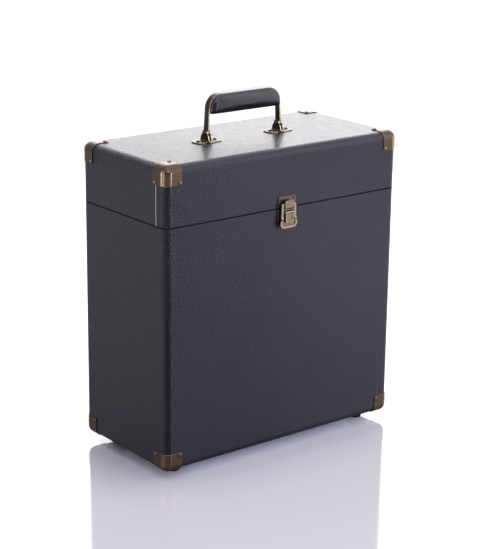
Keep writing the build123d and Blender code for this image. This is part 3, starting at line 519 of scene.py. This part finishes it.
MATERIALS = {
    "plywood": plywood(),
    "leatherette": leatherette(),
    "lining": lining_cloth(),
    "lip": wrapped_card(),
    "rubber": black_rubber(),
    "grip_leather": smooth_leather(),
    "core": moulded_core(),
    "steel": zinc_steel(),
    "antique_brass": antique_brass(
        "antique_brass",
        upright_bends,
        (0.0, (0.04, 0.023, 0.014)),
        (0.4, (0.115, 0.074, 0.042)),
        (1.0, (0.40, 0.29, 0.19)),
    ),
}
# The handle's brass: the front and back edges of its strips are painted light as a highlight.
DARK_BRASS = antique_brass(
    "dark_brass",
    painted_edge_highlight,
    (0.2, (0.04, 0.022, 0.013)),
    (0.5, (0.075, 0.043, 0.026)),
    (0.9, (0.78, 0.68, 0.46)),
)
LIGHT_BRASS = antique_brass(
    "light_brass",
    latch_rims,
    (0.1, (0.035, 0.021, 0.013)),
    (0.4, (0.16, 0.12, 0.095)),
    (0.58, (0.32, 0.245, 0.15)),
    (0.9, (0.49, 0.405, 0.26)),
)
THREAD = waxed_thread()
CUT_FACE_PAINT = cut_face_highlight()


def finish_of(node_name, slot_name):
    """The material of a CAD node: brass is darkest on the handle and brightest on the latch."""
    if slot_name == "antique_brass" and node_name.startswith(("handle_", "bracket_")):
        return DARK_BRASS
    if slot_name == "antique_brass" and node_name.startswith("latch_"):
        return LIGHT_BRASS
    return MATERIALS[slot_name]


for subpart in frame["record"]["subparts"]:
    mesh = frame["nodes"][subpart["node"]].data
    mesh.materials.clear()
    mesh.materials.append(finish_of(subpart["node"], subpart["material_slot"]))


# ------------------------------------------------------------------ helpers for pieces
def piece_from(name, bm, material):
    """An object made from a bmesh that stands in the frame."""
    bmesh.ops.recalc_face_normals(bm, faces=bm.faces)
    mesh = bpy.data.meshes.new(name)
    bm.to_mesh(mesh)
    bm.free()
    mesh.materials.append(material)
    made = bpy.data.objects.new(name, mesh)
    scene.collection.objects.link(made)
    return made


def shade_smooth(piece, angle=40):
    """Smooth shading with edges over angle degrees kept sharp."""
    for polygon in piece.data.polygons:
        polygon.use_smooth = True
    piece.data.set_sharp_from_angle(angle=math.radians(angle))


def bake_modifiers(piece):
    """The piece's mesh becomes what its modifiers make of it."""
    bpy.context.view_layer.update()
    evaluated = piece.evaluated_get(bpy.context.evaluated_depsgraph_get())
    finished = bpy.data.meshes.new_from_object(evaluated)
    piece.modifiers.clear()
    piece.data = finished


def cut(piece, cutter, crossed=False):
    """cutter's volume is taken out of piece, and cutter is deleted; crossed if its parts overlap."""
    boolean = piece.modifiers.new("cut", "BOOLEAN")
    boolean.operation = "DIFFERENCE"
    boolean.solver = "EXACT"
    boolean.object = cutter
    boolean.use_self = crossed
    bake_modifiers(piece)
    bpy.data.objects.remove(cutter)


# ------------------------------------------------------------------ stuffed leather grip
def grip_start():
    """The pad's outer form without its channel, slimmed so that its stuffing can fill it out."""
    bm = bmesh.new()
    bm.from_mesh(frame["nodes"]["handle_grip"].data)
    hull = bmesh.ops.convex_hull(bm, input=bm.verts)
    spare = [item for item in hull["geom_interior"] if isinstance(item, bmesh.types.BMVert)]
    bmesh.ops.delete(bm, geom=spare, context="VERTS")
    bmesh.ops.scale(bm, vec=(1, GRIP_SLIM, 1), verts=bm.verts)
    return piece_from("grip_pad", bm, MATERIALS["grip_leather"])


def stuff(pad):
    """Cloth simulation under pressure, with the line under the strap held still."""
    remesh = pad.modifiers.new("remesh", "REMESH")
    remesh.mode = "VOXEL"
    remesh.voxel_size = GRIP_VOXEL
    bake_modifiers(pad)
    start = [vertex.co.copy() for vertex in pad.data.vertices]
    held = pad.vertex_groups.new(name="held")
    held_half = (strap_high.y - strap_low.y) / 2 + GRIP_VOXEL
    under_strap = [
        vertex.index
        for vertex in pad.data.vertices
        if abs(vertex.co.y) < held_half and vertex.co.z > (grip_low.z + grip_high.z) / 2
    ]
    held.add(under_strap, 1.0, "REPLACE")
    cloth = pad.modifiers.new("stuffing", "CLOTH")
    settings = cloth.settings
    settings.use_pressure = True
    settings.uniform_pressure_force = 4.0
    settings.effector_weights.gravity = 0.0
    settings.vertex_group_mass = held.name
    settings.quality = 6
    settings.mass = 0.3
    cloth.point_cache.frame_start = 1
    cloth.point_cache.frame_end = STUFFING_FRAMES
    for frame_number in range(1, STUFFING_FRAMES + 1):
        scene.frame_set(frame_number)
    bpy.context.view_layer.update()
    swollen = pad.evaluated_get(bpy.context.evaluated_depsgraph_get()).data
    moved = [vertex.co.copy() for vertex in swollen.vertices]
    pad.modifiers.clear()
    pad.vertex_groups.clear()
    scene.frame_set(1)
    for vertex, before, after in zip(pad.data.vertices, start, moved):
        push = after - before
        if push.length > GRIP_SWELL:
            push.length = GRIP_SWELL
        vertex.co = before + push


def fit_grip(pad):
    """Smooths the pad, then keeps its leather inside the space its CAD solid holds."""
    smooth = pad.modifiers.new("smooth", "SMOOTH")
    smooth.factor = 0.5
    smooth.iterations = 3
    subdivide = pad.modifiers.new("subdivide", "SUBSURF")
    subdivide.levels = 1
    subdivide.render_levels = 1
    bake_modifiers(pad)
    for vertex in pad.data.vertices:
        vertex.co.x = min(max(vertex.co.x, grip_low.x), grip_high.x)
        vertex.co.y = min(max(vertex.co.y, grip_low.y), grip_high.y)
        vertex.co.z = min(max(vertex.co.z, grip_low.z), grip_high.z)


def strap_channel():
    """The space the strap needs through the pad: over its top and down both ends."""
    half_w = (strap_high.y - strap_low.y) / 2 + CHANNEL_CLEAR
    foot_x = strap_high.x - STRAP_T
    foot_z = lid_high.z + LEG_STAND
    top_z = strap_high.z - STRAP_T
    lean = math.atan(LEG_LEAN / (top_z - foot_z))
    bend_r = STRAP_BEND_R - STRAP_T / 2
    bend_x = foot_x - LEG_LEAN - bend_r * math.tan((math.pi / 2 - lean) / 2)
    bend = [lean + (math.pi / 2 - lean) * step / BEND_STEPS for step in range(BEND_STEPS + 1)]
    right_half = [(bend_x + bend_r * math.cos(a), top_z - bend_r + bend_r * math.sin(a)) for a in bend]
    inner = [(foot_x, foot_z), *right_half]
    outer_x = foot_x + CHANNEL_MARGIN
    outer_z = top_z + CHANNEL_MARGIN
    outline = inner + [(-x, z) for x, z in reversed(inner)]
    outline += [(-outer_x, foot_z), (-outer_x, outer_z), (outer_x, outer_z), (outer_x, foot_z)]
    bm = bmesh.new()
    near = [bm.verts.new((x, -half_w, z)) for x, z in outline]
    face = bm.faces.new(near)
    pushed = bmesh.ops.extrude_face_region(bm, geom=[face])
    far = [item for item in pushed["geom"] if isinstance(item, bmesh.types.BMVert)]
    bmesh.ops.translate(bm, vec=(0, 2 * half_w, 0), verts=far)
    return piece_from("channel", bm, MATERIALS["grip_leather"])


def capsule(bm, start, end, radius):
    """A rounded stick from start to end, such as one stitch."""
    run = end - start
    turn = run.to_track_quat("Z", "Y").to_matrix().to_4x4()
    ball = bmesh.ops.create_icosphere(bm, subdivisions=2, radius=radius)["verts"]
    half = Vector((0, 0, run.length / 2 - radius))
    for vertex in ball:
        vertex.co += half if vertex.co.z > 0 else -half
    bmesh.ops.transform(bm, matrix=Matrix.Translation((start + end) / 2) @ turn, verts=ball)


def grip_seam(pad):
    """The leather's closing seam under the pad, and its stitches."""
    half_l = grip_high.x - SEAM_END
    count = int(2 * half_l / STITCH_PITCH)
    levels = []
    for index in range(count + 1):
        x = -half_l + index * 2 * half_l / count
        hit, place = pad.ray_cast(Vector((x, 0, grip_low.z - 5 * MM)), UP)[:2]
        levels.append(Vector((x, 0, place.z if hit else grip_low.z)))
    ridge = bmesh.new()
    rows = [
        [ridge.verts.new((point.x, y, point.z + lift)) for y, lift in SEAM_SECTION] for point in levels
    ]
    for first, second in zip(rows, rows[1:]):
        for index in range(len(first)):
            after = (index + 1) % len(first)
            ridge.faces.new((first[index], first[after], second[after], second[index]))
    ridge.faces.new(rows[0][::-1])
    ridge.faces.new(rows[-1])
    seam = piece_from("grip_seam", ridge, MATERIALS["grip_leather"])
    shade_smooth(seam, 60)
    thread = bmesh.new()
    for first, second in zip(levels, levels[1:]):
        middle = (first + second) / 2
        along = (second - first).normalized() * STITCH_L / 2
        for side in (-1, 1):
            offset = Vector((0, side * STITCH_OUT, STITCH_SINK))
            capsule(thread, middle - along + offset, middle + along + offset, THREAD_R)
    stitches = piece_from("grip_stitches", thread, THREAD)
    shade_smooth(stitches, 180)
    return seam, stitches


pad = grip_start()
stuff(pad)
fit_grip(pad)
bpy.context.view_layer.update()
seam, stitches = grip_seam(pad)
cut(pad, strap_channel())
shade_smooth(pad, 35)
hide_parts("handle_grip")
for piece in (pad, seam, stitches):
    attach(piece, "handle")


# ------------------------------------------------------------------ end of the lid's covering
def wrap_edge():
    """The covering's free edge on the lid's left side: a low, slightly wavy step whose cut is painted
    pale as a highlight.
    """
    low = RIM_Z + WRAP_END_GAP
    high = corner_low.z + WRAP_LAP
    bm = bmesh.new()
    strips = []
    for row in range(WRAP_ROWS + 1):
        z = low + (high - low) * row / WRAP_ROWS
        wave = WRAP_WAVE * noise.noise(Vector((0, 3.1, z * 60)))
        strips.append(
            [
                bm.verts.new((LEFT_X - lift * WRAP_T, WRAP_EDGE_Y + wave + reach, z))
                for reach, lift in WRAP_SECTION
            ]
        )
    for first, second in zip(strips, strips[1:]):
        for index in range(len(WRAP_SECTION) - 1):
            face = bm.faces.new((first[index], second[index], second[index + 1], first[index + 1]))
            face.material_index = int(index == CUT_FACE)
        bm.faces.new((first[-1], second[-1], second[0], first[0]))
    bm.faces.new(strips[0])
    bm.faces.new(strips[-1][::-1])
    edge = piece_from("lid_wrap_edge", bm, MATERIALS["leatherette"])
    edge.data.materials.append(CUT_FACE_PAINT)
    return edge


wrap = wrap_edge()
shade_smooth(wrap, 50)
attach(wrap, "lid")


# ------------------------------------------------------------------ cross-slotted screws
def welded(mesh):
    """A bmesh of mesh with the vertices that lie on each other joined."""
    bm = bmesh.new()
    bm.from_mesh(mesh)
    bmesh.ops.remove_doubles(bm, verts=bm.verts, dist=WELD_REACH)
    return bm


def islands(mesh):
    """The separate shells of a mesh as lists of vertex places."""
    bm = welded(mesh)
    left = set(bm.verts)
    shells = []
    while left:
        front = [left.pop()]
        shell = list(front)
        while front:
            vertex = front.pop()
            for link in vertex.link_edges:
                other = link.other_vert(vertex)
                if other in left:
                    left.remove(other)
                    front.append(other)
                    shell.append(other)
        shells.append([vertex.co.copy() for vertex in shell])
    bm.free()
    return shells


def cross_slots(node_name, out, head, seed):
    """Cutters for a cross recess in each screw head of a node, out being the heads' direction."""
    head_r, head_h = head
    rng = random.Random(seed)
    turn = out.to_track_quat("Z", "Y").to_matrix().to_4x4()
    bm = bmesh.new()
    for shell in islands(frame["nodes"][node_name].data):
        crown = max(shell, key=lambda place: place.dot(out))
        spin = Matrix.Rotation(rng.uniform(0, math.pi / 2), 4, "Z")
        for quarter in (0, 1):
            blade = bmesh.ops.create_cube(bm, size=1.0)["verts"]
            for vertex in blade:
                narrow = SLOT_TAPER if vertex.co.z < 0 else 1.0
                x, y, z = vertex.co
                vertex.co = (x * SLOT_L * head_r * narrow, y * SLOT_W * head_r * narrow, z * 2 * head_h)
            place = (
                Matrix.Translation(crown + out * SLOT_LIFT * head_h)
                @ turn
                @ spin
                @ Matrix.Rotation(quarter * math.pi / 2, 4, "Z")
            )
            bmesh.ops.transform(bm, matrix=place, verts=blade)
    return piece_from("slots", bm, MATERIALS["antique_brass"])


def slotted_screws(node_name, body, out, head, seed):
    """A copy of a screw node with cross recesses, standing for it."""
    source = frame["nodes"][node_name]
    screws = bpy.data.objects.new(f"{node_name}_slotted", source.data.copy())
    scene.collection.objects.link(screws)
    bm = welded(screws.data)
    bm.to_mesh(screws.data)
    bm.free()
    cut(screws, cross_slots(node_name, out, head, seed), crossed=True)
    shade_smooth(screws, 35)
    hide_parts(node_name)
    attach(screws, body)


slotted_screws("bracket_screws", "lid", UP, WOOD_SCREW, seed=1)
slotted_screws("hinge_body_screws", "case", BACK, HINGE_SCREW, seed=2)
slotted_screws("hinge_lid_screws", "lid", BACK, HINGE_SCREW, seed=3)
slotted_screws("foot_screws", "case", DOWN, WOOD_SCREW, seed=4)

# ------------------------------------------------------------------ camera
CAMERA_PLACE = Vector((-1.19886, -1.52095, 0.78382))
CAMERA_FORWARD = Vector((0.59227744, 0.75249899, -0.28801512)).normalized()
CAMERA_ROLL = math.radians(0.6556)
CAMERA_LENS = 108.07
CAMERA_SENSOR = 36
CAMERA_REACH = 50

level_right = CAMERA_FORWARD.cross(UP).normalized()
level_up = level_right.cross(CAMERA_FORWARD)
right = math.cos(CAMERA_ROLL) * level_right + math.sin(CAMERA_ROLL) * level_up
up = math.cos(CAMERA_ROLL) * level_up - math.sin(CAMERA_ROLL) * level_right
camera = bpy.data.objects.new("camera", bpy.data.cameras.new("camera"))
turned = Matrix((right, up, -CAMERA_FORWARD)).transposed().to_4x4()
camera.matrix_world = Matrix.Translation(CAMERA_PLACE) @ turned
camera.data.lens = CAMERA_LENS
camera.data.sensor_width = CAMERA_SENSOR
camera.data.sensor_fit = "AUTO"
camera.data.clip_end = CAMERA_REACH
scene.collection.objects.link(camera)
scene.camera = camera

# ------------------------------------------------------------------ floor and surroundings
def bearing(degrees):
    """The level direction this far from +X towards +Y."""
    return Vector((math.cos(math.radians(degrees)), math.sin(math.radians(degrees)), 0))


AWAY = Vector((CAMERA_FORWARD.x, CAMERA_FORWARD.y, 0)).normalized()
ACROSS = Vector((level_right.x, level_right.y, 0)).normalized()
TOWARDS_CAMERA = math.degrees(math.atan2(-AWAY.y, -AWAY.x))
DARK_SIDE = bearing(TOWARDS_CAMERA + 17)  # the middle of the studio's unlit part
FLOOR_GLOW = 0.66
FLOOR_SIZE = 8.0
SHADE_REACH = 0.1
MIRROR_FALL = 2.5  # how fast the sheet's gloss fades as it turns to face the eye
COOL = (0.84, 0.86, 1.0)
WARM = (1.0, 0.975, 0.98)
LAMPS_AIM = Vector((0, 0, 0.2))
STRIP_W, STRIP_H = 0.05, 0.9
STRIP_AWAY = 0.8  # a strip's distance from the case's front left edge


def seen_directly(tree):
    """1 for camera, glossy and transmission rays, which should see the white backdrop."""
    path = node(tree, "ShaderNodeLightPath").outputs
    either = math_node(tree, "MAXIMUM", path["Is Camera Ray"], path["Is Glossy Ray"])
    return math_node(tree, "MAXIMUM", either, path["Is Transmission Ray"])


def studio_level(tree, direction):
    """How bright the studio is in a direction from the case: dark behind the camera."""
    lit = remap(tree, dot_with(tree, direction, DARK_SIDE), 1.0, 0.04, 0.56, 0.74)
    side = remap(tree, dot_with(tree, direction, ACROSS), 0.42, 1.0, -0.8, 0.1)
    return product(tree, lit, side)


def floor_glow(tree):
    """The sheet's glow: plain for the camera; in reflections as uneven as the studio, and dimmer near
    the case as painted shade.
    """
    place = node(tree, "ShaderNodeNewGeometry").outputs["Position"]
    away = vector_node(tree, "LENGTH", place)["Value"]
    outward = vector_node(tree, "NORMALIZE", place)[0]
    # In reflections the glow is dimmer near the case: painted shade.
    reflected = product(
        tree, remap(tree, away, 0.05, 1.1, 0.25, 1.15), studio_level(tree, outward)
    )
    direct = remap(tree, away, 1.0, 3.6, 1.0, 4.0)
    camera_ray = node(tree, "ShaderNodeLightPath").outputs["Is Camera Ray"]
    share = node(tree, "ShaderNodeMix", {"Factor": camera_ray, "A": reflected, "B": direct}).outputs[0]
    return product(tree, share, floor_shade(tree, place), seen_directly(tree), FLOOR_GLOW)


def floor_shade(tree, place):
    """The case's soft shadow on the sheet's glow: 1 in the open, deeper on its left."""
    depth = remap(tree, dot_with(tree, place, ACROSS), 1.2, 0.2, -0.15, -0.06)
    return math_node(tree, "POWER", floor_sky(tree), depth)


def floor_sky(tree):
    """How much of the sky over the sheet the case leaves open."""
    return open_sky(tree, SHADE_REACH, 12)


def glossy_floor():
    """White acrylic sheet: mirror-like at low angles, with the case's shadow kept."""
    material = bpy.data.materials.new("white_acrylic")
    material.use_nodes = True
    tree = material.node_tree
    tree.nodes.clear()
    facing = node(tree, "ShaderNodeLayerWeight", {"Blend": 0.5}).outputs["Facing"]
    mirror_share = math_node(tree, "POWER", facing, MIRROR_FALL)
    white = node(tree, "ShaderNodeBsdfDiffuse", {"Color": (0.25, 0.245, 0.26, 1)}).outputs[0]
    # The glow turns bluer where the case covers the sky: the colour of the painted shade.
    tint = blend_colours(tree, floor_sky(tree), (0.3, (0.73, 0.74, 1.0)), (1.0, (0.925, 0.885, 0.99)))
    lit = node(
        tree, "ShaderNodeEmission", {"Color": tint, "Strength": floor_glow(tree)}
    ).outputs[0]
    surface = node(tree, "ShaderNodeAddShader", {0: white, 1: lit}).outputs[0]
    mirror = node(
        tree, "ShaderNodeBsdfAnisotropic", {"Color": (1, 1, 1, 1), "Roughness": 0.07}
    ).outputs[0]
    mixed = node(tree, "ShaderNodeMixShader", {0: mirror_share, 1: surface, 2: mirror}).outputs[0]
    node(tree, "ShaderNodeOutputMaterial", {"Surface": mixed})
    return material


def floor():
    """A large flat sheet under the case."""
    bm = bmesh.new()
    bmesh.ops.create_grid(bm, x_segments=8, y_segments=8, size=FLOOR_SIZE)
    sheet = piece_from("floor", bm, glossy_floor())
    if sheet.data.polygons[0].normal.z < 0:
        sheet.data.flip_normals()


def surroundings():
    """White studio: bright behind and at the right, dimmer at the left, dark behind the camera."""
    world = bpy.data.worlds.new("studio")
    scene.world = world
    world.use_nodes = True
    tree = world.node_tree
    background = tree.nodes["Background"]
    direction = node(tree, "ShaderNodeTexCoord").outputs["Generated"]
    camera_ray = node(tree, "ShaderNodeLightPath").outputs["Is Camera Ray"]
    strength = math_node(tree, "MAXIMUM", studio_level(tree, direction), camera_ray)
    connect(tree, background, Color=(1, 1, 1, 1), Strength=strength)


def softbox(name, place, width, height, radiance, colour=(1, 1, 1), aim=LAMPS_AIM):
    """A rectangular lamp turned towards the case."""
    lamp = bpy.data.lights.new(name, "AREA")
    lamp.shape = "RECTANGLE"
    lamp.size = width
    lamp.size_y = height
    lamp.color = colour
    lamp.energy = radiance * math.pi * width * height
    holder = bpy.data.objects.new(name, lamp)
    holder.location = place
    holder.rotation_euler = (aim - place).to_track_quat("-Z", "Y").to_euler()
    holder.visible_camera = False
    scene.collection.objects.link(holder)


def strip_light(name, degrees, radiance, colour=(1, 1, 1)):
    """A tall narrow lamp by its bearing from the front left edge, for the bright lines along it."""
    edge = Vector((LEFT_X, FRONT_Y, 0.5))
    place = edge + bearing(degrees) * STRIP_AWAY
    softbox(name, place, STRIP_W, STRIP_H, radiance, colour, aim=edge)


floor()
surroundings()
softbox("back_softbox", AWAY * 2.2 + UP, width=3.2, height=1.6, radiance=1.72, colour=WARM)
right_place = ACROSS * 1.7 - AWAY * 0.1 + UP * 0.8
softbox("right_softbox", right_place, width=0.8, height=1.4, radiance=1.0, colour=COOL)
softbox("left_softbox", bearing(190) * 1.3 + UP * 0.4, width=0.4, height=0.8, radiance=0.5)
softbox("top_softbox", AWAY * -0.3 + UP * 2.2, width=1.4, height=1.4, radiance=0.6, colour=COOL)
softbox("front_softbox", bearing(-112) * 1.3 + UP * 1.35, width=0.6, height=0.6, radiance=3.5)
strip_light("right_strip", degrees=-67, radiance=10.0, colour=COOL)
strip_light("left_strip", degrees=155, radiance=6.0)
